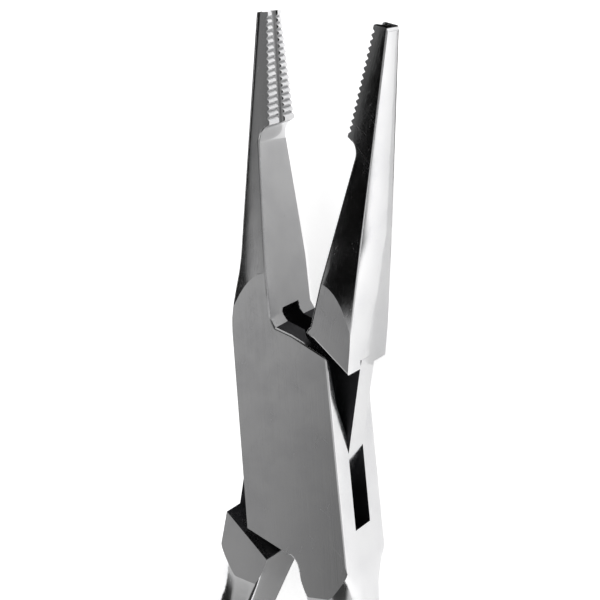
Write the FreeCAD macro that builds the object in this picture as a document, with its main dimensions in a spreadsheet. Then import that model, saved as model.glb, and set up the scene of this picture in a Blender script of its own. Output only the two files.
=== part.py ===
import FreeCAD, Part
import math
import os
import Sketcher

# Pin puller pliers with a box joint, lying flat. Each arm is drawn closed, about the pivot axis, with its
# tip towards +Y and the middle of its thickness at z = 0. Then it is raised to lie on its back face and turned
# half of the opening. Distances along the jaws and along the handles are measured from the pivot axis, and
# distances across the tool from the plane where the jaws meet.

# Driving dimensions in millimetres and degrees
SIZES = {
    # joint
    "opening_angle": 15.2,
    "box_thickness": 10.0,
    "slot_width": 3.8,
    "shank_clearance": 0.08,
    "shoulder_gap": 0.1,
    # box
    "box_left": 5.8,
    "box_right_top": 6.3,
    "box_right_low": 7.2,
    "box_corner_radius": 0.9,
    "jaw_shoulder_inner": 13.85,
    "jaw_shoulder_outer": 10.65,
    "jaw_shoulder_bend": 2.0,
    "jaw_shoulder_bend_drop": 0.8,
    "handle_shoulder_outer": 10.95,
    "handle_shoulder_inner": 14.1,
    "handle_shoulder_fillet": 2.2,
    "slot_crown": 16.1,
    "box_inner_edge": 0.45,
    "window_end": 10.9,
    "cheek_relief_depth": 2.7,
    "cheek_relief_bend": 1.75,
    "cheek_relief_bend_station": 4.2,
    # shank
    "shank_belly": 6.9,
    "shank_belly_station": 0.4,
    "shank_waist": 6.3,
    "shank_waist_station": 5.0,
    "shank_waist_radius": 4.0,
    "shank_left_bulge": 0.3,
    "shank_left_inset": 0.8,
    "shank_end": 15.1,
    "shank_crown": 14.9,
    "shank_crown_width": 2.0,
    # jaws
    "jaw_length": 49.5,
    "jaw_root": 13.0,
    "jaw_gap": 0.1,
    "jaw_heel_width": 1.3,
    "jaw_heel_drop": 0.35,
    "tip_width": 1.8,
    "tip_thickness": 3.1,
    "left_edge_radius": 0.8,
    "right_edge_radius": 0.3,
    "root_edge_radius": 0.2,
    "tip_corner_radius": 0.4,
    "jaw_root_thickness": 11.7,
    "crown_radius": 22.0,
    "crown_offset": 0.8,
    "bulge_station": 26.0,
    "neck_width": 4.27,
    "neck_station": 22.0,
    # gripping faces
    "teeth_length": 12.2,
    "tooth_pitch": 0.74,
    "tooth_depth": 0.3,
    "tooth_flat": 0.06,
    "groove_radius": 0.75,
    "groove_depth": 0.5,
    "relief_depth": 1.4,
    "relief_root_depth": 0.55,
    "relief_run": 2.0,
    "relief_end": 14.9,
    "relief_foot_radius": 1.0,
    # rivet
    "pin_diameter": 4.5,
    "pin_head_diameter": 5.9,
    "pin_head_depth": 1.2,
    "bore_clearance": 0.04,
    # handles
    "handle_start": 15.3,
    "handle_end": 130.0,
    "handle_spread": 24.0,
    "handle_root_thickness": 11.2,
    "box_arm_root_inner": 0.68,
    "through_arm_root_inner": 0.48,
    "waist_width": 5.8,
    "grip_width": 7.6,
    "end_width": 6.4,
    "waist_thickness": 9.6,
    "grip_thickness": 7.4,
    "end_thickness": 5.8,
    "end_round": 2.6,
}

document = FreeCAD.newDocument("PinPullerPliers")
sheet = document.addObject("Spreadsheet::Sheet", "Sizes")
for row, (name, number) in enumerate(SIZES.items(), 1):
    sheet.set(f"A{row}", name)
    sheet.set(f"B{row}", str(number))
    sheet.setAlias(f"B{row}", name)
document.recompute()


class Size:
    """A number together with the sheet expression that gives it, so that both come from one formula."""

    def __init__(self, number, expression=None):
        self.number = float(number)
        self.expression = expression or f"{float(number)!r}"

    @staticmethod
    def of(term):
        return term if isinstance(term, Size) else Size(term)

    def __add__(self, other):
        other = Size.of(other)
        return Size(self.number + other.number, f"({self.expression} + {other.expression})")

    def __sub__(self, other):
        other = Size.of(other)
        return Size(self.number - other.number, f"({self.expression} - {other.expression})")

    def __mul__(self, other):
        other = Size.of(other)
        return Size(self.number * other.number, f"({self.expression} * {other.expression})")

    def __truediv__(self, other):
        other = Size.of(other)
        return Size(self.number / other.number, f"({self.expression} / {other.expression})")

    def __neg__(self):
        return self * -1

    def __rsub__(self, other):
        return Size.of(other) - self

    __radd__ = __add__
    __rmul__ = __mul__

    def root(self):
        return Size(math.sqrt(self.number), f"sqrt({self.expression})")


def size(name):
    return Size(SIZES[name], f"Sizes.{name}")


def blend(start, end, share):
    """The value that lies the given share of the way from start to end."""
    return start + (end - start) * share


def ease(share):
    """A share that starts and ends gently, as 3 s squared less 2 s cubed."""
    return share * share * (3 - 2 * share)


# Sketches
def new_sketch(body, name, role, offset):
    """A sketch on one of the body's origin planes, moved along the plane's normal."""
    plane = next(item for item in body.Origin.OriginFeatures if item.Role == role)
    sketch = body.newObject("Sketcher::SketchObject", name)
    sketch.AttachmentSupport = (plane, [""])
    sketch.MapMode = "FlatFace"
    sketch.setExpression("AttachmentOffset.Base.z", Size.of(offset).expression)
    return sketch


def fix_point(sketch, geometry, position, x, y):
    """Holds a point of the sketch at x, y from the sketch's origin."""
    for kind, place, axis in (("DistanceX", Size.of(x), -2), ("DistanceY", Size.of(y), -1)):
        if place.number == 0:
            sketch.addConstraint(Sketcher.Constraint("PointOnObject", geometry, position, axis))
        else:
            index = sketch.addConstraint(Sketcher.Constraint(kind, -1, 1, geometry, position, place.number))
            sketch.setExpression(f"Constraints[{index}]", place.expression)


def fix_radius(sketch, geometry, radius):
    index = sketch.addConstraint(Sketcher.Constraint("Radius", geometry, radius.number))
    sketch.setExpression(f"Constraints[{index}]", radius.expression)


def outline(body, name, corners, role="XY_Plane", offset=0):
    """A closed outline. A corner is (x, y), and a line runs from it to the next one, or (x, y, centre_x,
    centre_y, radius), and an arc does."""
    sketch = new_sketch(body, name, role, offset)
    corners = [[Size.of(term) for term in corner] for corner in corners]
    ends = []
    for corner, following in zip(corners, corners[1:] + corners[:1]):
        start = FreeCAD.Vector(corner[0].number, corner[1].number, 0)
        end = FreeCAD.Vector(following[0].number, following[1].number, 0)
        if len(corner) == 2:
            geometry = sketch.addGeometry(Part.LineSegment(start, end))
            ends.append((geometry, 1, 2))
            continue
        centre = FreeCAD.Vector(corner[2].number, corner[3].number, 0)
        from_centre, to_end = start - centre, end - centre
        forward = from_centre.cross(to_end).z > 0
        first, last = (from_centre, to_end) if forward else (to_end, from_centre)
        circle = Part.Circle(centre, FreeCAD.Vector(0, 0, 1), corner[4].number)
        angles = math.atan2(first.y, first.x), math.atan2(last.y, last.x)
        geometry = sketch.addGeometry(Part.ArcOfCircle(circle, *angles))
        ends.append((geometry, 1, 2) if forward else (geometry, 2, 1))
    for index, corner in enumerate(corners):
        geometry, start, end = ends[index]
        following = ends[(index + 1) % len(ends)]
        sketch.addConstraint(Sketcher.Constraint("Coincident", geometry, end, following[0], following[1]))
        fix_point(sketch, geometry, start, corner[0], corner[1])
        if len(corner) > 2:
            fix_radius(sketch, geometry, corner[4])
    return sketch


def circle(body, name, x, y, radius, role="XY_Plane", offset=0):
    sketch = new_sketch(body, name, role, offset)
    centre = FreeCAD.Vector(Size.of(x).number, Size.of(y).number, 0)
    sketch.addGeometry(Part.Circle(centre, FreeCAD.Vector(0, 0, 1), radius.number))
    fix_point(sketch, 0, 3, x, y)
    fix_radius(sketch, 0, radius)
    return sketch


# Features
LEAST_CUT = 0.001
UPRIGHT_RISE = 0.5
SAME_PLACE = 0.01


def settle(feature):
    """Works the feature out, and stops if it fails."""
    document.recompute()
    if "Invalid" in feature.State or feature.Shape.isNull():
        raise ValueError(f"{feature.Name}: {feature.getStatusString()}")
    return feature


def slab(body, kind, sketch, height):
    """A pad or a pocket of the given height, half of it on each side of its sketch."""
    feature = body.newObject(f"PartDesign::{kind}", f"{sketch.Name}_{kind}")
    feature.Profile = sketch
    feature.SideType = "Symmetric"
    feature.setExpression("Length", height.expression)
    return settle(feature)


def turn(body, kind, sketch, axis):
    """A revolution or a groove, all the way round an axis or an edge of its sketch."""
    feature = body.newObject(f"PartDesign::{kind}", f"{sketch.Name}_{kind}")
    feature.Profile = sketch
    feature.ReferenceAxis = (sketch, [axis])
    feature.Angle = 360
    return settle(feature)


def cut(body, sketch, height=None, axis=None):
    """A pocket of the given height, or a groove about the axis, which has to take something away."""
    before = body.Shape.Volume
    feature = slab(body, "Pocket", sketch, height) if axis is None else turn(body, "Groove", sketch, axis)
    if body.Shape.Volume > before - LEAST_CUT:
        raise ValueError(f"{sketch.Name} cuts nothing")
    return feature


def loft(body, name, sections, ruled):
    feature = body.newObject("PartDesign::AdditiveLoft", name)
    feature.Profile = sections[0]
    feature.Sections = sections[1:]
    feature.Ruled = ruled
    return settle(feature)


def fillet(body, name, picked, radius):
    """Rounds the picked edges, given by a test on each edge's list of corner points."""
    base = body.Tip
    edges = enumerate(base.Shape.Edges, 1)
    names = [f"Edge{number}" for number, edge in edges if picked([vertex.Point for vertex in edge.Vertexes])]
    if not names:
        raise ValueError(f"{name} finds no edge")
    feature = body.newObject("PartDesign::Fillet", name)
    feature.Base = (base, names)
    feature.setExpression("Radius", Size.of(radius).expression)
    return settle(feature)


def upright_at(*places):
    """A test for the upright edges at the given places in plan."""
    spots = [(Size.of(x).number, Size.of(y).number) for x, y in places]

    def picked(ends):
        if len(ends) < 2 or abs(ends[0].z - ends[1].z) < UPRIGHT_RISE:
            return False
        return any(all(math.dist((end.x, end.y), spot) < SAME_PLACE for end in ends) for spot in spots)

    return picked


# Sizes that several pieces share, and how far a cutting outline reaches past the steel
thickness = size("box_thickness")
through = thickness * 2
across = thickness * 8
face = size("jaw_gap") / 2
tip = size("jaw_length")
jaw_root = size("jaw_root")
box_left = size("box_left")
box_right = size("box_right_top")
half_slot = size("slot_width") / 2
teeth_end = tip - size("teeth_length") - size("tooth_pitch") / 2
OVERSHOOT = 1.0


# Jaws
TIP_BULGE = 0.12
MIDDLE_BULGE = 0.2
ROOT_BULGE = 0.01


def side_bulge(station):
    """How far the side of a jaw stands out, as a share of half its height."""
    middle = size("bulge_station")
    if station.number > middle.number:
        return blend(MIDDLE_BULGE, TIP_BULGE, (station - middle) / (tip - middle))
    if station.number > jaw_root.number:
        return blend(ROOT_BULGE, MIDDLE_BULGE, (station - jaw_root) / (middle - jaw_root))
    return Size(ROOT_BULGE)


def jaw_section(body, name, side, station, width, tip_edge):
    """The section of a jaw: flat where it grips, crowned in front, behind and a little at its side, with
    rounded outer edges."""
    share = (tip - station) / (tip - jaw_root)
    radius = size("crown_radius")
    edge = blend(tip_edge, size("root_edge_radius"), share)
    apex = blend(size("tip_thickness"), size("jaw_root_thickness"), share) / 2
    middle = size("crown_offset")
    drop = apex - radius
    reach = width - edge - middle
    rise = ((radius - edge) * (radius - edge) - reach * reach).root()
    grip_height = drop + (radius * radius - (face - middle) * (face - middle)).root()
    touch = middle + reach * radius / (radius - edge)
    touch_height = drop + rise * radius / (radius - edge)
    centre_height = drop + rise

    # the side's arc, where the bulge is the tangent of half the angle that the side turns through
    bulge = side_bulge(station)
    sine = bulge * 2 / (bulge * bulge + 1)
    cosine = (1 - bulge * bulge) / (bulge * bulge + 1)
    edge_centre = width - edge
    side_radius = edge + centre_height / sine
    side_centre = edge_centre - centre_height * cosine / sine
    side_touch = edge_centre + edge * cosine
    side_height = centre_height + edge * sine
    corners = [
        (side * face, -grip_height),
        (side * face, grip_height, side * middle, drop, radius),
        (side * touch, touch_height, side * edge_centre, centre_height, edge),
        (side * side_touch, side_height, side * side_centre, 0, side_radius),
        (side * side_touch, -side_height, side * edge_centre, -centre_height, edge),
        (side * touch, -touch_height, side * middle, -drop, radius),
    ]
    return outline(body, name, corners, "XZ_Plane", -station)


def trim_flats(body, name, start, end):
    """Grinds a stretch of the arm down to the flats of the box."""
    top = thickness / 2
    for sign, side_name in ((1, "Front"), (-1, "Back")):
        beyond = sign * thickness
        corners = [(start, sign * top), (end, sign * top), (end, beyond), (start, beyond)]
        cut(body, outline(body, f"{name}{side_name}Flat", corners, "YZ_Plane"), across)


def gripping_face(body, side):
    """The hollow behind the teeth, the groove for the pin and the teeth."""
    depth = size("relief_depth")
    run = size("relief_run")
    sweep = (depth * depth + run * run) / (depth * 2)
    deepest = face + depth
    hollow_top = teeth_end - run
    hollow_foot = (side * (face + size("relief_root_depth")), size("relief_end"))
    shoulder = size("jaw_shoulder_inner") + size("shoulder_gap")
    corners = [
        (side * face, teeth_end, side * (deepest - sweep), hollow_top, sweep),
        (side * deepest, hollow_top),
        hollow_foot,
        (side * face, shoulder),
        (side * -depth, shoulder),
        (side * -depth, teeth_end),
    ]
    cut(body, outline(body, "Hollow", corners), through)
    fillet(body, "HollowFootFillet", upright_at(hollow_foot), size("relief_foot_radius"))

    round_off = size("tip_corner_radius")
    flat = size("tip_width") - round_off
    corners = [
        (side * flat, tip, side * flat, tip - round_off, round_off),
        (side * (flat + round_off), tip - round_off),
        (side * (flat + round_off + OVERSHOOT), tip - round_off),
        (side * (flat + round_off + OVERSHOOT), tip + OVERSHOOT),
        (side * flat, tip + OVERSHOOT),
    ]
    cut(body, outline(body, "TipCorner", corners), through)

    pitch = size("tooth_pitch")
    length = size("teeth_length") + pitch * 3
    centre = side * (face + size("groove_depth") - size("groove_radius"))
    middle = tip - size("teeth_length") / 2
    cut(body, circle(body, "Groove", centre, 0, size("groove_radius"), "XZ_Plane", -middle), length)

    start = tip - pitch / 2
    corners = [
        (side * (face - size("tooth_flat")), start),
        (side * (face + size("tooth_depth")), start - pitch / 2),
        (side * (face - size("tooth_flat")), start - pitch),
    ]
    gap = cut(body, outline(body, "ToothGap", corners), through)
    count = int(SIZES["teeth_length"] / SIZES["tooth_pitch"])
    row = body.newObject("PartDesign::LinearPattern", "Teeth")
    row.Originals = [gap]
    row.Direction = (gap.Profile[0], ["V_Axis"])
    row.Reversed = True
    row.Occurrences = count
    row.setExpression("Length", (pitch * (count - 1)).expression)
    body.Tip = row
    settle(row)


# Handles. Shares run from 0 where the handle leaves the box to 1 at its end.
WAIST_SHARE = 0.06
NECK_SHARE = 0.15
GRIP_SHARE = 0.49
GRIP_STEPS = 12
END_STEPS = 5
BOW_ANGLE = math.radians(100)
BOW_POWER = 1.25
QUARTER_TURN = math.radians(90)
NECK_EDGE = 0.2
OVAL_EDGE = 0.45
EDGE_GROWTH = 0.6


def handle_section(body, name, side, station, inner, outer, height, inner_edge, outer_edge):
    """The section of a handle: a rectangle whose inner and outer edges are rounded by different radii."""
    top = height / 2
    corners = [
        (side * inner, -(top - inner_edge)),
        (side * inner, top - inner_edge, side * (inner + inner_edge), top - inner_edge, inner_edge),
        (side * (inner + inner_edge), top),
        (side * (outer - outer_edge), top, side * (outer - outer_edge), top - outer_edge, outer_edge),
        (side * outer, top - outer_edge),
        (side * outer, -(top - outer_edge), side * (outer - outer_edge), -(top - outer_edge), outer_edge),
        (side * (outer - outer_edge), -top),
        (side * (inner + inner_edge), -top, side * (inner + inner_edge), -(top - inner_edge), inner_edge),
    ]
    return outline(body, name, corners, "XZ_Plane", station)


def handle(body, side, root_inner, root_outer):
    """A handle that leaves the box with ground flats, turns oval and bows outwards to a rounded end."""
    start = size("handle_start")
    end = size("handle_end")
    root = root_outer - root_inner, size("handle_root_thickness")
    waist = size("waist_width"), size("waist_thickness")
    grip = size("grip_width"), size("grip_thickness")
    last = size("end_width"), size("end_thickness")
    root_centre = (root_inner + root_outer) / 2
    # share, the two sizes blended there, how far, the inner and outer edge radii as shares of the height, and
    # how far the section has drawn in, as a share of the end's rounding
    neck_stations = (
        (0.0, root, waist, 0.0, 0.02, 0.06, 0),
        (0.03, root, waist, 0.75, 0.04, 0.3, 0),
        (WAIST_SHARE, waist, grip, 0.0, 0.07, 0.42, 0),
        (0.1, waist, grip, 0.12, 0.13, 0.44, 0),
        (NECK_SHARE, waist, grip, 0.3, NECK_EDGE, OVAL_EDGE, 0),
    )
    round_share = SIZES["end_round"] / (SIZES["handle_end"] - SIZES["handle_start"])
    places = [(blend(NECK_SHARE, 1 - round_share, step / GRIP_STEPS), 0) for step in range(GRIP_STEPS + 1)]
    for step in range(1, END_STEPS + 1):
        angle = QUARTER_TURN * step / END_STEPS
        places.append((1 - round_share * (1 - math.sin(angle)), 1 - math.cos(angle)))
    grip_stations = []
    for along, inset in places:
        swell = waist, grip, math.sin(QUARTER_TURN * (along - WAIST_SHARE) / (GRIP_SHARE - WAIST_SHARE))
        if along > GRIP_SHARE:
            swell = grip, last, 1 - math.cos(QUARTER_TURN * (along - GRIP_SHARE) / (1 - GRIP_SHARE))
        inner_edge = min(OVAL_EDGE, NECK_EDGE + EDGE_GROWTH * (along - NECK_SHARE))
        grip_stations.append((along, *swell, inner_edge, OVAL_EDGE, inset))
    for name, stations in (("Neck", neck_stations), ("Grip", grip_stations)):
        sections = []
        for number, (along, before, after, share, inner_share, outer_share, inset) in enumerate(stations):
            bow = math.sin(BOW_ANGLE * along ** BOW_POWER)
            centre = blend(root_centre, size("handle_spread"), bow)
            drawn_in = size("end_round") * inset
            half_width = blend(before[0], after[0], share) / 2 - drawn_in
            height = blend(before[1], after[1], share) - drawn_in * 2
            inner, outer = centre - half_width, centre + half_width
            edges = height * inner_share, height * outer_share
            place = f"{name}{number}", side, blend(start, end, along)
            sections.append(handle_section(body, *place, inner, outer, height, *edges))
        loft(body, f"Handle{name}", sections, name == "Grip")
    trim_flats(body, "Handle", -start, -end)


def rivet_profile(body, name):
    """Half of the rivet's outline, from its axis outwards, with a sunk head at each end."""
    shaft = size("pin_diameter") / 2
    head = size("pin_head_diameter") / 2
    end = thickness / 2
    neck = end - size("pin_head_depth")
    corners = [(0, -end), (head, -end), (shaft, -neck), (shaft, neck), (head, end), (0, end)]
    return outline(body, name, corners, "XZ_Plane")


def new_body(name):
    body = document.addObject("PartDesign::Body", name)
    body.Label = name
    return body


# The arm with the box: left jaw, two cheeks and right handle
box_arm = new_body("box_arm")
left = -1
neck = size("neck_station")
slope = (size("neck_width") - size("tip_width")) / (tip - neck)
left_edge = size("left_edge_radius")
FLARE_STEPS = 5

sections = [jaw_section(box_arm, "Tip", left, tip, size("tip_width"), left_edge)]
fullest = size("bulge_station")
fullest_width = size("tip_width") + slope * (tip - fullest)
sections.append(jaw_section(box_arm, "Middle", left, fullest, fullest_width, left_edge))
for step in range(FLARE_STEPS + 1):
    station = blend(neck, jaw_root, step / FLARE_STEPS)
    width = blend(size("tip_width") + slope * (tip - station), box_left, ease(step / FLARE_STEPS))
    sections.append(jaw_section(box_arm, f"Flare{step}", left, station, width, left_edge))
loft(box_arm, "Jaw", sections, True)
trim_flats(box_arm, "Jaw", jaw_root, tip)

box_low = size("box_right_low")
root_inner = size("box_arm_root_inner")
upper_corner = (box_right, size("jaw_shoulder_outer"))
crotch = (size("box_inner_edge"), -size("handle_shoulder_inner"))
plate = [
    (-box_left, jaw_root),
    (-face, jaw_root),
    (-face, size("jaw_shoulder_inner")),
    (size("jaw_shoulder_bend"), size("jaw_shoulder_inner") - size("jaw_shoulder_bend_drop")),
    upper_corner,
    (box_low, -size("handle_start")),
    (root_inner, -size("handle_start")),
    crotch,
    (-box_left, -size("handle_shoulder_outer")),
]
slab(box_arm, "Pad", outline(box_arm, "Box", plate), thickness)
gripping_face(box_arm, left)
fillet(box_arm, "CheekCorner", upright_at(upper_corner), size("box_corner_radius"))
fillet(box_arm, "Crotch", upright_at(crotch), size("handle_shoulder_fillet"))
handle(box_arm, 1, root_inner, box_low)

# The slot runs through the box from edge to edge, and leaves one web behind the jaw and one before the handle
window = size("window_end")
slot = [
    (-box_left * 2, window),
    (-box_left, window),
    (0, size("slot_crown")),
    (box_low * 2, size("slot_crown")),
    (box_low * 2, -window),
    (box_low, -window),
    (root_inner, -size("handle_start")),
    (-box_left * 2, -size("handle_start")),
]
cut(box_arm, outline(box_arm, "Slot", slot), size("slot_width"))

# The cheeks are hollowed towards the upper right corner, so that the other jaw could be threaded through
belly = size("shank_belly_station")
relief_top = size("jaw_shoulder_inner")
relief = [
    (box_right, belly),
    (box_right - half_slot, belly),
    (box_right - half_slot - size("cheek_relief_bend"), belly + size("cheek_relief_bend_station")),
    (box_right - half_slot - size("cheek_relief_depth"), size("jaw_shoulder_outer")),
    (box_right - half_slot - size("cheek_relief_depth"), relief_top),
    (box_right, relief_top),
]
cut(box_arm, outline(box_arm, "CheekRelief", relief), axis="Edge6")
cut(box_arm, rivet_profile(box_arm, "RivetHole"), axis="V_Axis")

# The arm through the box: right jaw, shank and left handle
through_arm = new_body("through_arm")
right = 1
right_edge = size("right_edge_radius")
shoulder_reach = box_right - size("tip_width")
heel = size("jaw_shoulder_outer")
sections = []
for name, station in (("Tip", tip), ("Middle", fullest), ("Neck", jaw_root), ("Root", heel)):
    width = size("tip_width") + shoulder_reach * (tip - station) / (tip - heel)
    sections.append(jaw_section(through_arm, f"Jaw{name}", right, station, width, right_edge))
loft(through_arm, "Jaw", sections, True)
trim_flats(through_arm, "Jaw", heel, tip)
gripping_face(through_arm, right)

gap = size("shoulder_gap")
shoulder_inner = size("jaw_shoulder_inner") + gap
shoulder_outer = size("jaw_shoulder_outer") + gap
below_shoulder = [
    (0, shoulder_inner),
    (size("jaw_heel_width"), shoulder_inner - size("jaw_heel_drop")),
    (box_right, shoulder_outer),
    (box_right + OVERSHOOT, shoulder_outer),
    (box_right + OVERSHOOT, 0),
    (0, 0),
]
cut(through_arm, outline(through_arm, "JawShoulder", below_shoulder), through)

root_inner = size("through_arm_root_inner")
block = [
    (-box_left, -(size("handle_shoulder_outer") + gap)),
    (root_inner, -size("shank_end")),
    (root_inner, -size("handle_start")),
    (-box_left, -size("handle_start")),
]
slab(through_arm, "Pad", outline(through_arm, "HandleBlock", block), thickness)
handle(through_arm, -1, -root_inner, box_left)

# The shank runs a little way into the jaw above it and into the handle block below it
RUN_IN = 1.0
waist = (size("shank_waist"), -size("shank_waist_station"))
shank = [
    (box_right, shoulder_outer + RUN_IN),
    (box_right, shoulder_outer),
    (size("shank_belly"), belly),
    waist,
    (root_inner, -size("shank_end")),
    (root_inner - RUN_IN, -size("handle_start")),
    (-box_left, -size("handle_start")),
    (-box_left, -size("handle_shoulder_outer")),
    (-box_left - size("shank_left_bulge"), -belly),
    (-size("shank_waist") + size("shank_left_inset"), size("shank_waist_station")),
    (face + size("relief_root_depth"), size("shank_crown")),
    (face + size("shank_crown_width"), size("shank_crown")),
]
shank_thickness = size("slot_width") - size("shank_clearance") * 2
slab(through_arm, "Pad", outline(through_arm, "Shank", shank), shank_thickness)
fillet(through_arm, "ShankWaist", upright_at(waist), size("shank_waist_radius"))
bore = size("pin_diameter") / 2 + size("bore_clearance")
cut(through_arm, circle(through_arm, "RivetBore", 0, 0, bore), through)

# The rivet
pivot_pin = new_body("pivot_pin")
turn(pivot_pin, "Revolution", rivet_profile(pivot_pin, "Rivet"), "V_Axis")

# The arms lie on their back faces, each turned half of the opening
for body, axis in ((box_arm, 1), (through_arm, -1), (pivot_pin, 1)):
    turned = SIZES["opening_angle"] / 2
    rotation = FreeCAD.Rotation(FreeCAD.Vector(0, 0, axis), turned)
    body.Placement = FreeCAD.Placement(FreeCAD.Vector(0, 0, SIZES["box_thickness"] / 2), rotation)
    body.setExpression("Placement.Base.z", (thickness / 2).expression)
    body.setExpression("Placement.Rotation.Angle", (size("opening_angle") / 2).expression)
document.recompute()

for item in document.Objects:
    if "Invalid" in item.State or "Error" in item.State:
        raise ValueError(f"{item.Name}: {item.getStatusString()}")
os.makedirs("parts", exist_ok=True)
for body in (box_arm, through_arm, pivot_pin):
    shape = body.Shape
    if shape.isNull() or not shape.isValid() or len(shape.Solids) != 1:
        raise ValueError(f"{body.Label} has no valid solid")
    shape.exportStep(f"parts/{body.Label}.step")
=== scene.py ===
import math

import bmesh
import bpy
import numpy as np
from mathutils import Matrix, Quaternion, Vector


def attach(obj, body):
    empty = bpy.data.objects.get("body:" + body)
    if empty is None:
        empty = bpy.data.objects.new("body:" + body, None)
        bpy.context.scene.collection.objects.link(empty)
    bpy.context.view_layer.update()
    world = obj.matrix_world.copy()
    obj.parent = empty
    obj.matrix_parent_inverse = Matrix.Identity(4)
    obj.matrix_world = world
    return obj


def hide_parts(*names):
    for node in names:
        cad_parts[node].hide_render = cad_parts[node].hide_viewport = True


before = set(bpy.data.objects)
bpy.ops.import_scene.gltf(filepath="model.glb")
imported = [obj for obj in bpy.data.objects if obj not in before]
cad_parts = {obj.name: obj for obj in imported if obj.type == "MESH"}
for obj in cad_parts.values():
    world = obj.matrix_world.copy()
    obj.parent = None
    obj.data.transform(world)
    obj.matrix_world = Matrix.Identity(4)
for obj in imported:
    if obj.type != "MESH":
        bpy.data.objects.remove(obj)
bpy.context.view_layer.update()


# Arm with the box
# The left jaw, both cheeks of the box and the right handle are one forging of stainless steel, slotted through
# for the other arm. Its flats are ground, and the jaw and the handle are polished along their length. The inside
# of the slot, the upright faces of the shoulders and the roots of the teeth are darkened with painted shade.

MM = 0.001
OPENING = math.radians(15.2)
HALF_THICKNESS = 5 * MM
HALF_SLOT = 1.9 * MM

# the sides and the ends of the box, and how far the slot, the shoulders and the hollow reach, from the pivot
BOX_LEFT = 5.8 * MM
BOX_RIGHT_TOP = 6.3 * MM
BOX_RIGHT_LOW = 7.2 * MM
BOX_TOP = 10.65 * MM
BOX_LOW = -15.3 * MM
SLOT_REACH = 16.3 * MM
SHOULDER_TOP = 14.0 * MM
TEETH_START = 36.5 * MM


def closed_angle(vectors, side):
    """The vectors turned back about the pivot axis by half of the opening, so that an arm lies along Y."""
    turn = -side * OPENING / 2
    cosine, sine = math.cos(turn), math.sin(turn)
    turned = vectors.copy()
    turned[:, 0] = vectors[:, 0] * cosine - vectors[:, 1] * sine
    turned[:, 1] = vectors[:, 0] * sine + vectors[:, 1] * cosine
    return turned


def read_vectors(items, name):
    """The named vectors of a mesh's items, one to a row."""
    flat = np.zeros(len(items) * 3)
    items.foreach_get(name, flat)
    return flat.reshape(-1, 3)


def box_right(along):
    """How far out the right side of the box lies at each distance along the arm, which is a straight taper."""
    share = (BOX_TOP - along) / (BOX_TOP - BOX_LOW)
    return BOX_RIGHT_TOP + (BOX_RIGHT_LOW - BOX_RIGHT_TOP) * share


def smooth_step(values, low, high):
    """0 below low, 1 above high, and 3 s squared less 2 s cubed between them."""
    share = np.clip((values - low) / (high - low), 0, 1)
    return share * share * (3 - 2 * share)


# the ground flats are level to this share of their normal, and lie this far from the middle of the thickness
GROUND_LEVEL = 0.99999
FLAT_HEIGHT = 0.98 * HALF_THICKNESS


def is_flat(face):
    """Whether a face is one of the two ground flats of the forging."""
    height = abs(face.calc_center_median().z - HALF_THICKNESS)
    return abs(face.normal.z) > GROUND_LEVEL and height > FLAT_HEIGHT


# an edge is rounded between a steep and a level face, near the middle line along the hollow, and right of where
# the side begins along the box, but not round the rivet
ROUNDED_EDGE = 0.22 * MM
STEEP = 0.5
LEVEL = 0.9
FACING_LOW = -0.5
HOLLOW_REACH = 2 * MM
SIDE_START = -1 * MM
RIVET_REACH = 3.3 * MM


def is_rounded(edge, side):
    """Whether an edge lies along the hollow behind the teeth, the shoulder or the right side of the box."""
    if len(edge.link_faces) != 2:
        return False
    steep, level = sorted(edge.link_faces, key=lambda face: abs(face.normal.z))
    if abs(steep.normal.z) > STEEP or abs(level.normal.z) < LEVEL:
        return False
    x, y, _ = closed_angle(np.array([vertex.co for vertex in edge.verts]), side).mean(axis=0)
    if abs(x) < HOLLOW_REACH and SHOULDER_TOP < y < TEETH_START:
        return True
    if not any(is_flat(face) for face in edge.link_faces):
        return False
    if side > 0:
        return BOX_LOW < y <= SHOULDER_TOP and x > SIDE_START and math.hypot(x, y) > RIVET_REACH
    return BOX_TOP < y <= SHOULDER_TOP and x > SIDE_START and steep.normal.y < FACING_LOW


STEP_REACH = 3.0 * MM
STEP_SIZE = 0.12 * MM


def round_edges(work, side):
    """Rounds the edges that is_rounded finds, once the small steps of the shoulder are closed. It gives the new
    faces."""
    step = [vertex for vertex in work.verts if (vertex.co.xy - Vector((0, SHOULDER_TOP))).length < STEP_REACH]
    bmesh.ops.remove_doubles(work, verts=step, dist=STEP_SIZE)
    work.normal_update()
    chain = [edge for edge in work.edges if is_rounded(edge, side)]
    made = bmesh.ops.bevel(work, geom=chain, offset=ROUNDED_EDGE, offset_type="OFFSET", segments=3, profile=0.5,
                           affect="EDGES", clamp_overlap=False)
    return set(made["faces"])


# the painted shade covers the walls of the slot, and comes in from its mouths between these depths
WALL_LEVEL = 0.7
WALL_HEIGHT = 1.1 * HALF_SLOT
SLOT_HEIGHT = 1.02 * HALF_SLOT
SHADE_START = 0.3 * MM
SHADE_FULL = 1.5 * MM
# it leaves out the gripping faces, and covers the upright faces of the shoulders from a little below the top of
# the box
GRIPPING = 0.93
SHOULDER_FACING = 0.85
UPRIGHT = 0.1
SHOULDER_BELOW = 0.2 * MM
SHOULDER_ABOVE = 1 * MM
# and it is half as dark between the teeth, from just under their crests to their roots
TEETH_FACING = 0.3
TEETH_REACH = 0.6 * MM
TEETH_CREST = 0.1 * MM
TOOTH_DEPTH = 0.35 * MM
TEETH_SHARE = 0.5


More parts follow.
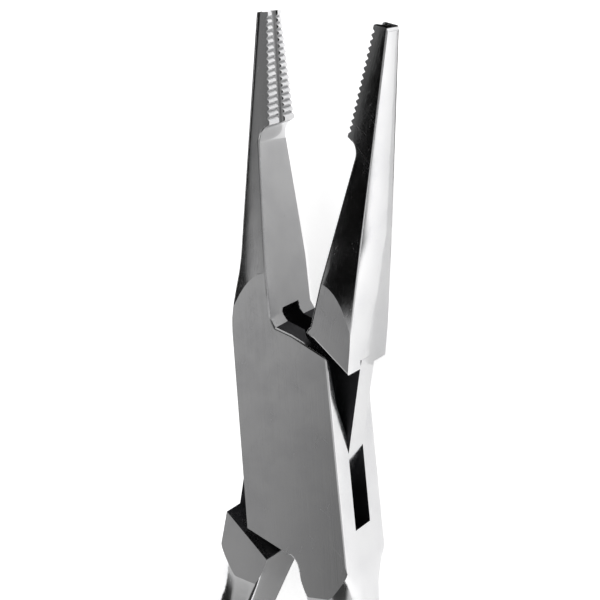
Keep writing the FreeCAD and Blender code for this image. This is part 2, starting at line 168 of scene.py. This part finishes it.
def recess_shares(mesh, side):
    """How deep each corner of each face lies in the slot or between the teeth, from 0 outside to 1 inside. It is
    the share of painted shade that the corner gets.
    """
    corner_points = np.zeros(len(mesh.loops), np.int32)
    mesh.loops.foreach_get("vertex_index", corner_points)
    sizes = np.zeros(len(mesh.polygons), np.int32)
    mesh.polygons.foreach_get("loop_total", sizes)
    points = closed_angle(read_vectors(mesh.vertices, "co")[corner_points], side)
    normals = closed_angle(read_vectors(mesh.polygons, "normal"), side)[np.repeat(np.arange(len(sizes)), sizes)]
    x, y, height = points[:, 0], points[:, 1], np.abs(points[:, 2] - HALF_THICKNESS)

    walls = (np.abs(normals[:, 2]) > WALL_LEVEL) & (height < WALL_HEIGHT) & (np.abs(y) < SLOT_REACH)
    depth = np.minimum(box_right(y) - x, x + BOX_LEFT)
    gripping = (y > BOX_TOP) & (np.abs(normals[:, 0]) > GRIPPING)
    in_slot = (height < SLOT_HEIGHT) & (np.abs(y) < SLOT_REACH) & ~gripping
    recess = np.where(in_slot, smooth_step(depth, SHADE_START, SHADE_FULL), 0.0)
    recess[walls] = 1.0
    shoulder = (y > BOX_TOP - SHOULDER_BELOW) & (y < SHOULDER_TOP + SHOULDER_ABOVE)
    shoulder &= (normals[:, 1] * side > SHOULDER_FACING) & (np.abs(normals[:, 2]) < UPRIGHT)
    recess[shoulder] = 1.0

    teeth = (y > TEETH_START) & (normals[:, 0] * side > TEETH_FACING) & (np.abs(x) < TEETH_REACH)
    recess[teeth] = TEETH_SHARE * smooth_step(np.abs(x[teeth]), TEETH_CREST, TOOTH_DEPTH)
    return recess


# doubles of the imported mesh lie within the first, facets of one surface within the second, and edges past the
# third are sharp
JOINED = 0.0005 * MM
FACET_ANGLE = math.radians(0.15)
SHARP_ANGLE = math.radians(28)


def finished_copy(node, side, name):
    """A copy of a forging with its facets joined, its curved faces smooth and its sharp edges rounded. The side
    is 1 for the arm whose jaw is on the left and -1 for the other."""
    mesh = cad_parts[node].data.copy()
    mesh.name = name
    work = bmesh.new()
    work.from_mesh(mesh)
    bmesh.ops.remove_doubles(work, verts=work.verts, dist=JOINED)
    bmesh.ops.dissolve_limit(work, angle_limit=FACET_ANGLE, verts=work.verts, edges=work.edges)
    rounding = round_edges(work, side)
    work.normal_update()
    for face in work.faces:
        face.smooth = not is_flat(face)
    for edge in work.edges:
        if len(edge.link_faces) == 2:
            beside_rounding = sum(face in rounding for face in edge.link_faces) == 1
            edge.smooth = edge.calc_face_angle() < SHARP_ANGLE and not beside_rounding
    work.to_mesh(mesh)
    work.free()

    recess = mesh.attributes.new("recess", "FLOAT", "CORNER")
    recess.data.foreach_set("value", recess_shares(mesh, side).astype(np.float32))
    mesh.materials.clear()
    piece = bpy.data.objects.new(name, mesh)
    bpy.context.scene.collection.objects.link(piece)
    return piece


def new_group(name, inputs, output):
    """A shader node group with the named inputs and one output. It gives the group and its two end nodes."""
    tree = bpy.data.node_groups.new(name, "ShaderNodeTree")
    for socket, kind, value in inputs:
        made = tree.interface.new_socket(socket, in_out="INPUT", socket_type=kind)
        if value is not None:
            made.default_value = value
    tree.interface.new_socket(output, in_out="OUTPUT", socket_type="NodeSocketFloat")
    return tree, tree.nodes.new("NodeGroupInput"), tree.nodes.new("NodeGroupOutput")


def feed(tree, socket, term):
    """Sets a socket to a number, or links another socket to it."""
    if isinstance(term, (int, float)):
        socket.default_value = term
    else:
        tree.links.new(term, socket)


def math_node(tree, operation, *terms):
    """A math node whose terms are numbers or sockets. It gives its output socket."""
    node = tree.nodes.new("ShaderNodeMath")
    node.operation = operation
    for socket, term in zip(node.inputs, terms):
        feed(tree, socket, term)
    return node.outputs[0]


def window_node(tree, value, low, high):
    """The value taken from low..high to 0..1, easing at both ends."""
    node = tree.nodes.new("ShaderNodeMapRange")
    node.interpolation_type = "SMOOTHSTEP"
    for name, term in (("Value", value), ("From Min", low), ("From Max", high)):
        feed(tree, node.inputs[name], term)
    return node.outputs["Result"]


def stretched_noise(tree, vector, across, along, detail):
    """Noise at the place divided by the size of a grain, which is the given distances wide and long."""
    size = tree.nodes.new("ShaderNodeCombineXYZ")
    for socket, length in zip(size.inputs, (across, along, across)):
        tree.links.new(math_node(tree, "DIVIDE", 1.0, length), socket)
    stretch = tree.nodes.new("ShaderNodeVectorMath")
    stretch.operation = "MULTIPLY"
    tree.links.new(vector, stretch.inputs[0])
    tree.links.new(size.outputs[0], stretch.inputs[1])
    noise = tree.nodes.new("ShaderNodeTexNoise")
    noise.inputs["Scale"].default_value = 1.0
    noise.inputs["Detail"].default_value = detail
    tree.links.new(stretch.outputs[0], noise.inputs["Vector"])
    return noise.outputs["Fac"]


# the detail of each noise, and the window of it that shows
LINES_DETAIL, LINES_WINDOW = 3.0, (0.3, 0.7)
SCRATCHES_DETAIL, SCRATCHES_SOFTNESS = 1.0, 0.06
MARKS_DETAIL, MARKS_WINDOW = 4.0, (0.35, 0.7)


def make_grinding_lines():
    """Fine lines along the arm, as a belt leaves them: noise stretched along Y."""
    tree, given, result = new_group("grinding_lines", (
        ("Vector", "NodeSocketVector", None),
        ("Line Width", "NodeSocketFloat", 0.1 * MM),
        ("Line Length", "NodeSocketFloat", 12 * MM),
    ), "Lines")
    noise = stretched_noise(tree, given.outputs["Vector"], given.outputs["Line Width"],
                            given.outputs["Line Length"], LINES_DETAIL)
    tree.links.new(window_node(tree, noise, *LINES_WINDOW), result.inputs["Lines"])
    return tree


def make_fine_scratches():
    """Sparse hairline scratches at an angle to the arm: the crests of stretched noise."""
    tree, given, result = new_group("fine_scratches", (
        ("Vector", "NodeSocketVector", None),
        ("Angle", "NodeSocketFloat", 0.5),
        ("Width", "NodeSocketFloat", 0.12 * MM),
        ("Length", "NodeSocketFloat", 5 * MM),
        ("Rarity", "NodeSocketFloat", 0.68),
    ), "Scratches")
    turned = tree.nodes.new("ShaderNodeVectorRotate")
    turned.rotation_type = "Z_AXIS"
    tree.links.new(given.outputs["Vector"], turned.inputs["Vector"])
    tree.links.new(given.outputs["Angle"], turned.inputs["Angle"])
    noise = stretched_noise(tree, turned.outputs[0], given.outputs["Width"], given.outputs["Length"],
                            SCRATCHES_DETAIL)
    rarity = given.outputs["Rarity"]
    mask = window_node(tree, noise, rarity, math_node(tree, "ADD", rarity, SCRATCHES_SOFTNESS))
    tree.links.new(mask, result.inputs["Scratches"])
    return tree


def make_handling_marks():
    """Soft patches where fingers and cloths have dulled the polish: coarse noise."""
    tree, given, result = new_group("handling_marks", (
        ("Vector", "NodeSocketVector", None),
        ("Patch Size", "NodeSocketFloat", 5 * MM),
    ), "Marks")
    noise = stretched_noise(tree, given.outputs["Vector"], given.outputs["Patch Size"],
                            given.outputs["Patch Size"], MARKS_DETAIL)
    tree.links.new(window_node(tree, noise, *MARKS_WINDOW), result.inputs["Marks"])
    return tree


GRINDING_LINES = make_grinding_lines()
FINE_SCRATCHES = make_fine_scratches()
HANDLING_MARKS = make_handling_marks()


def place_group(tree, group, output, vector, **values):
    """The group placed in a material and fed with the vector. It gives its output socket."""
    node = tree.nodes.new("ShaderNodeGroup")
    node.node_tree = group
    tree.links.new(vector, node.inputs["Vector"])
    for name, value in values.items():
        node.inputs[name.replace("_", " ")].default_value = value
    return node.outputs[output]


CLEAN_STEEL = (0.88, 0.88, 0.885, 1)
DULLED_STEEL = (0.82, 0.82, 0.83, 1)
# the colour of the painted shade in the slot, on the shoulders and between the teeth
PAINTED_SHADE_GREY = (0.06, 0.06, 0.065, 1)
# the roughness of clean steel, and what the lines, marks, scratches and recesses add to it
CLEAN_ROUGHNESS = 0.12
LINES_ROUGHNESS = 0.05
MARKS_ROUGHNESS = 0.05
SCRATCHES_ROUGHNESS = 0.08
RECESS_ROUGHNESS = 0.3
# the relief of the lines, and the scratches' as a share of it
RELIEF_STRENGTH = 0.5
RELIEF_HEIGHT = 0.001 * MM
SCRATCHES_RELIEF = -0.5


def polished_steel(name, side):
    """Satin stainless steel with lines along the arm, hairline scratches and dulled patches, and painted shade
    in its recesses."""
    material = bpy.data.materials.new(name)
    material.use_nodes = True
    tree = material.node_tree
    shader = tree.nodes["Principled BSDF"]
    shader.inputs["Metallic"].default_value = 1.0

    place = tree.nodes.new("ShaderNodeTexCoord")
    along_arm = tree.nodes.new("ShaderNodeMapping")
    along_arm.inputs["Rotation"].default_value = (0, 0, -side * OPENING / 2)
    tree.links.new(place.outputs["Object"], along_arm.inputs["Vector"])
    vector = along_arm.outputs["Vector"]
    lines = place_group(tree, GRINDING_LINES, "Lines", vector, Line_Width=0.14 * MM, Line_Length=9 * MM)
    crossing = place_group(tree, FINE_SCRATCHES, "Scratches", vector, Angle=0.45)
    sloping = place_group(tree, FINE_SCRATCHES, "Scratches", vector, Angle=-0.9, Length=3.5 * MM)
    marks = place_group(tree, HANDLING_MARKS, "Marks", vector, Patch_Size=4 * MM)
    recess = tree.nodes.new("ShaderNodeAttribute")
    recess.attribute_name = "recess"
    scratches = math_node(tree, "MAXIMUM", crossing, sloping)

    # the dulled patches are a little darker, and the recesses are painted dark as shade
    dulled = tree.nodes.new("ShaderNodeMix")
    dulled.data_type = "RGBA"
    dulled.inputs["A"].default_value = CLEAN_STEEL
    dulled.inputs["B"].default_value = DULLED_STEEL
    tree.links.new(marks, dulled.inputs["Factor"])
    painted_shade = tree.nodes.new("ShaderNodeMix")
    painted_shade.data_type = "RGBA"
    painted_shade.inputs["B"].default_value = PAINTED_SHADE_GREY
    tree.links.new(recess.outputs["Fac"], painted_shade.inputs["Factor"])
    tree.links.new(dulled.outputs["Result"], painted_shade.inputs["A"])
    tree.links.new(painted_shade.outputs["Result"], shader.inputs["Base Color"])

    roughness = math_node(tree, "MULTIPLY_ADD", lines, LINES_ROUGHNESS, CLEAN_ROUGHNESS)
    roughness = math_node(tree, "MULTIPLY_ADD", marks, MARKS_ROUGHNESS, roughness)
    roughness = math_node(tree, "MULTIPLY_ADD", scratches, SCRATCHES_ROUGHNESS, roughness)
    roughness = math_node(tree, "MULTIPLY_ADD", recess.outputs["Fac"], RECESS_ROUGHNESS, roughness)
    tree.links.new(roughness, shader.inputs["Roughness"])

    height = math_node(tree, "MULTIPLY_ADD", scratches, SCRATCHES_RELIEF, lines)
    bump = tree.nodes.new("ShaderNodeBump")
    bump.inputs["Strength"].default_value = RELIEF_STRENGTH
    bump.inputs["Distance"].default_value = RELIEF_HEIGHT
    tree.links.new(height, bump.inputs["Height"])
    tree.links.new(bump.outputs["Normal"], shader.inputs["Normal"])
    return material


box_arm = finished_copy("box_arm", 1, "box_arm_polished")
box_arm.data.materials.append(polished_steel("box_arm_steel", 1))
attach(box_arm, "box_arm")
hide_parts("box_arm")


# Arm through the box
# The right jaw, the thin shank in the slot and the left handle are the second forging of the same steel. It is
# threaded through the box of the other arm while that is spread open hot.

through_arm = finished_copy("through_arm", -1, "through_arm_polished")
through_arm.data.materials.append(polished_steel("through_arm_steel", -1))
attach(through_arm, "through_arm")
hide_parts("through_arm")


# Rivet
# The pivot is a steel rivet with a sunk head at each end, ground flush with the box and all but invisible.

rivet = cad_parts["pivot_pin"]
rivet.data.materials.clear()
rivet.data.materials.append(polished_steel("rivet_steel", 1))


# Sheet
# A plain white sheet that the pliers lie on. The steel mirrors it white, but for a dark stretch right of the
# jaws, which greys the edges of their sides a little.

SHEET_GREY = 0.84
# how much brighter than its lit colour the sheet is in the steel, and behind the pliers
SHEET_LIFT = 0.45
BACKGROUND_LIFT = 0.7
# how dark the stretch is, and where it begins and is full, from each of its four sides
DARKNESS = 0.93
DARK_EDGES = (
    ("X", 20 * MM, 33 * MM), ("X", 200 * MM, 130 * MM),
    ("Y", 2 * MM, 12 * MM), ("Y", 110 * MM, 80 * MM),
)
HALF_SHEET = 2.0
SHEET_HEIGHT = -0.02 * MM


def sheet_material():
    """White and matt. It glows by its lifts where the steel or the camera looks at it, and the steel alone sees
    the dark stretch."""
    material = bpy.data.materials.new("white_sheet")
    material.use_nodes = True
    tree = material.node_tree
    tree.nodes.clear()
    out = tree.nodes.new("ShaderNodeOutputMaterial")
    matt = tree.nodes.new("ShaderNodeBsdfDiffuse")
    glow = tree.nodes.new("ShaderNodeEmission")
    path = tree.nodes.new("ShaderNodeLightPath")
    place = tree.nodes.new("ShaderNodeTexCoord")
    axes = tree.nodes.new("ShaderNodeSeparateXYZ")
    tree.links.new(place.outputs["Object"], axes.inputs[0])
    dark = path.outputs["Is Glossy Ray"]
    for axis, low, high in DARK_EDGES:
        dark = math_node(tree, "MULTIPLY", dark, window_node(tree, axes.outputs[axis], low, high))
    level = math_node(tree, "SUBTRACT", 1.0, math_node(tree, "MULTIPLY", dark, DARKNESS))
    tree.links.new(math_node(tree, "MULTIPLY", level, SHEET_GREY), matt.inputs["Color"])
    mirrored = math_node(tree, "MAXIMUM", path.outputs["Is Glossy Ray"], path.outputs["Is Transmission Ray"])
    mirrored = math_node(tree, "MULTIPLY", mirrored, SHEET_LIFT)
    background = math_node(tree, "MULTIPLY", path.outputs["Is Camera Ray"], BACKGROUND_LIFT)
    lift = math_node(tree, "MULTIPLY", math_node(tree, "MAXIMUM", mirrored, background), level)
    tree.links.new(lift, glow.inputs["Strength"])
    both = tree.nodes.new("ShaderNodeAddShader")
    tree.links.new(matt.outputs[0], both.inputs[0])
    tree.links.new(glow.outputs[0], both.inputs[1])
    tree.links.new(both.outputs[0], out.inputs["Surface"])
    return material


def card(name, corners, material):
    """A flat piece of the stage between four corners."""
    mesh = bpy.data.meshes.new(name)
    mesh.from_pydata(corners, [], [(0, 1, 2, 3)])
    mesh.materials.append(material)
    piece = bpy.data.objects.new(name, mesh)
    bpy.context.scene.collection.objects.link(piece)
    return piece


card("sheet", [
    (-HALF_SHEET, -HALF_SHEET, SHEET_HEIGHT), (HALF_SHEET, -HALF_SHEET, SHEET_HEIGHT),
    (HALF_SHEET, HALF_SHEET, SHEET_HEIGHT), (-HALF_SHEET, HALF_SHEET, SHEET_HEIGHT),
], sheet_material())


# Cards
# Matt cards lie on the sheet, and only the steel sees them. The black ones darken the edges and the end faces of
# the jaws, and the grey ones dull what the inner faces of the arms mirror. The grey cards and the black card
# right
# of the jaws are painted shadow: the pliers' shadow on the sheet, as the steel mirrors it. One hangs over the
# right jaw and turns its front black. They are placed for the photograph's view at rest.

CARD_LIFT = 0.2 * MM
HANGING_HEIGHT = 26 * MM
BLACK = 0.004


def show_in_steel_only(piece):
    """Hides a piece of the stage from everything but mirror rays."""
    for hidden in ("visible_camera", "visible_diffuse", "visible_shadow", "visible_transmission"):
        setattr(piece, hidden, False)


def matt_card(name, corners, height, grey, lift):
    """A level matt card between four corners in millimetres, which shines a little by the lift."""
    material = bpy.data.materials.new(name)
    material.use_nodes = True
    shader = material.node_tree.nodes["Principled BSDF"]
    shader.inputs["Base Color"].default_value = (grey, grey, grey, 1)
    shader.inputs["Roughness"].default_value = 1.0
    shader.inputs["Specular IOR Level"].default_value = 0.0
    shader.inputs["Emission Color"].default_value = (1, 1, 1, 1)
    shader.inputs["Emission Strength"].default_value = lift
    show_in_steel_only(card(name, [(x * MM, y * MM, height) for x, y in corners], material))


matt_card("black_card_left", [(-90, -20), (-11, -20), (-11, 62), (-90, 62)], CARD_LIFT, BLACK, 0)
# painted shadow: the right jaw's shadow on the sheet beside it, as its side mirrors it
matt_card("shadow_card_right", [(3.2, 14), (7.2, 14), (8.6, 49), (3.2, 49)], CARD_LIFT, BLACK, 0)
matt_card("black_card_tip", [(-5, 49.6), (9, 49.6), (9, 58), (-5, 58)], CARD_LIFT, BLACK, 0)
matt_card("hanging_card", [(-3.2, 15), (12, 15), (13.5, 54), (0.8, 54)], HANGING_HEIGHT, BLACK, 0)
# painted shadow: grey cards where the pliers shade the sheet between and beside the arms, as the steel mirrors it
matt_card("shadow_card_jaws", [(-8, 10), (3, 10), (3, 34), (-8, 34)], CARD_LIFT, 0.6, 0.22)
matt_card("shadow_card_cheek", [(7.2, 8), (9.9, 8), (9.7, 50), (8.6, 50)], CARD_LIFT, 0.6, 0.35)
matt_card("shadow_card_handles", [(-8, -34), (4.5, -34), (4.5, -10), (-8, -10)], CARD_LIFT, 0.5, 0.08)


# Light tent
# Grey cloth hangs all round the pliers, in pale and dark stretches that the steel mirrors. The camera looks in
# through it.

TENT_RADIUS = 0.35
# the cloth's brightness over the box and the jaws, by its place along X from -1 at the left to 1 at the right
CLOTH_ABOVE = (
    (-1.0, 0.4), (-0.97, 0.19), (-0.93, 0.02), (-0.69, 0.015), (-0.64, 0.38), (-0.58, 0.44), (-0.52, 0.36),
    (-0.45, 0.36), (-0.39, 0.26), (-0.34, 0.14), (-0.29, 0.05), (-0.25, 0.01), (-0.2, 0.04), (-0.08, 0.4),
    (0.3, 0.5), (0.62, 0.6), (1.0, 0.8),
)
# what the first is multiplied by along Y, from -1 below the handles to 1 beyond the tips
CLOTH_SHADE = ((-0.5, 0.85), (-0.35, 0.8), (-0.2, 1.0), (-0.03, 0.85), (0.04, 0.48), (0.12, 0.38), (0.3, 0.45))
# the cloth's brightness elsewhere along X, and the share of the first along Y
CLOTH_AROUND = ((-1.0, 0.6), (-0.4, 0.5), (-0.05, 0.4), (0.15, 0.04), (0.7, 0.04), (0.85, 0.7), (1.0, 0.8))
CLOTH_SHARE = ((-0.6, 0.0), (-0.48, 1.0), (0.24, 1.0), (0.42, 0.0))


def level_ramp(tree, along, stops):
    """The level on straight lines between the stops, by a place that is from -1 to 1 of the tent's radius."""
    ramp = tree.nodes.new("ShaderNodeValToRGB")
    ramp.color_ramp.interpolation = "LINEAR"
    elements = ramp.color_ramp.elements
    while len(elements) < len(stops):
        elements.new(0.5)
    for element, (where, grey) in zip(elements, stops):
        element.position = (where + 1) / 2
        element.color = (grey, grey, grey, 1)
    tree.links.new(math_node(tree, "MULTIPLY_ADD", along, 0.5 / TENT_RADIUS, 0.5), ramp.inputs["Fac"])
    return ramp.outputs["Color"]


def tent_material():
    """A glow as bright as the cloth is at each place: around, plus the share times above less around."""
    material = bpy.data.materials.new("tent_cloth")
    material.use_nodes = True
    tree = material.node_tree
    tree.nodes.clear()
    out = tree.nodes.new("ShaderNodeOutputMaterial")
    glow = tree.nodes.new("ShaderNodeEmission")
    place = tree.nodes.new("ShaderNodeTexCoord")
    axes = tree.nodes.new("ShaderNodeSeparateXYZ")
    tree.links.new(place.outputs["Object"], axes.inputs[0])
    above = level_ramp(tree, axes.outputs["X"], CLOTH_ABOVE)
    above = math_node(tree, "MULTIPLY", above, level_ramp(tree, axes.outputs["Y"], CLOTH_SHADE))
    around = level_ramp(tree, axes.outputs["X"], CLOTH_AROUND)
    share = level_ramp(tree, axes.outputs["Y"], CLOTH_SHARE)
    difference = math_node(tree, "SUBTRACT", above, around)
    level = math_node(tree, "MULTIPLY_ADD", difference, share, around)
    tree.links.new(level, glow.inputs["Strength"])
    tree.links.new(glow.outputs[0], out.inputs["Surface"])
    return material


bpy.ops.mesh.primitive_uv_sphere_add(segments=64, ring_count=32, radius=TENT_RADIUS)
tent = bpy.context.object
tent.name = "light_tent"
tent.data.flip_normals()
tent.data.materials.append(tent_material())
show_in_steel_only(tent)


# Lamps
# Two large softboxes over the sheet, which the steel doesn't mirror, and a pale room.

ROOM_LEVEL = 0.45
SOFTBOX_SIDE = 0.8


def room():
    """White where the camera or a mirror ray sees it, and duller where it lights the scene."""
    world = bpy.data.worlds.new("studio")
    world.use_nodes = True
    tree = world.node_tree
    path = tree.nodes.new("ShaderNodeLightPath")
    seen = math_node(tree, "MAXIMUM", path.outputs["Is Camera Ray"], path.outputs["Is Glossy Ray"])
    seen = math_node(tree, "MAXIMUM", seen, path.outputs["Is Transmission Ray"])
    strength = math_node(tree, "MAXIMUM", seen, ROOM_LEVEL)
    background = tree.nodes["Background"]
    background.inputs["Color"].default_value = (1, 1, 1, 1)
    tree.links.new(strength, background.inputs["Strength"])
    return world


def softbox(name, place, power):
    """A square lamp that faces the pivot."""
    lamp = bpy.data.lights.new(name, "AREA")
    lamp.shape = "SQUARE"
    lamp.size = SOFTBOX_SIDE
    lamp.energy = power
    light = bpy.data.objects.new(name, lamp)
    bpy.context.scene.collection.objects.link(light)
    light.location = place
    light.rotation_mode = "QUATERNION"
    light.rotation_quaternion = (-Vector(place)).to_track_quat("-Z", "Y")
    light.visible_glossy = False


bpy.context.scene.world = room()
softbox("softbox_left", (-0.7, -0.2, 0.9), 5.0)
softbox("softbox_right", (0.8, 0.3, 0.7), 4.0)


# Camera
# It looks down on the box and the jaws from the upper right, as the photograph does, and the handles run out of
# the picture.

CAMERA_PLACE = Vector((95.66, 76.95, 194.12)) * MM
CAMERA_AIM = Vector((1.114, 17.586, 10.0)) * MM
CAMERA_ROLL = math.radians(115.244)

camera_data = bpy.data.cameras.new("camera")
camera_data.sensor_width = 36
camera_data.lens = 114
camera_data.clip_start = 0.01
camera = bpy.data.objects.new("camera", camera_data)
bpy.context.scene.collection.objects.link(camera)
camera.location = CAMERA_PLACE
camera.rotation_mode = "QUATERNION"
level_view = (CAMERA_AIM - CAMERA_PLACE).to_track_quat("-Z", "Y")
camera.rotation_quaternion = level_view @ Quaternion((0, 0, 1), -CAMERA_ROLL)
bpy.context.scene.camera = camera

bpy.context.scene.view_settings.view_transform = "Standard"
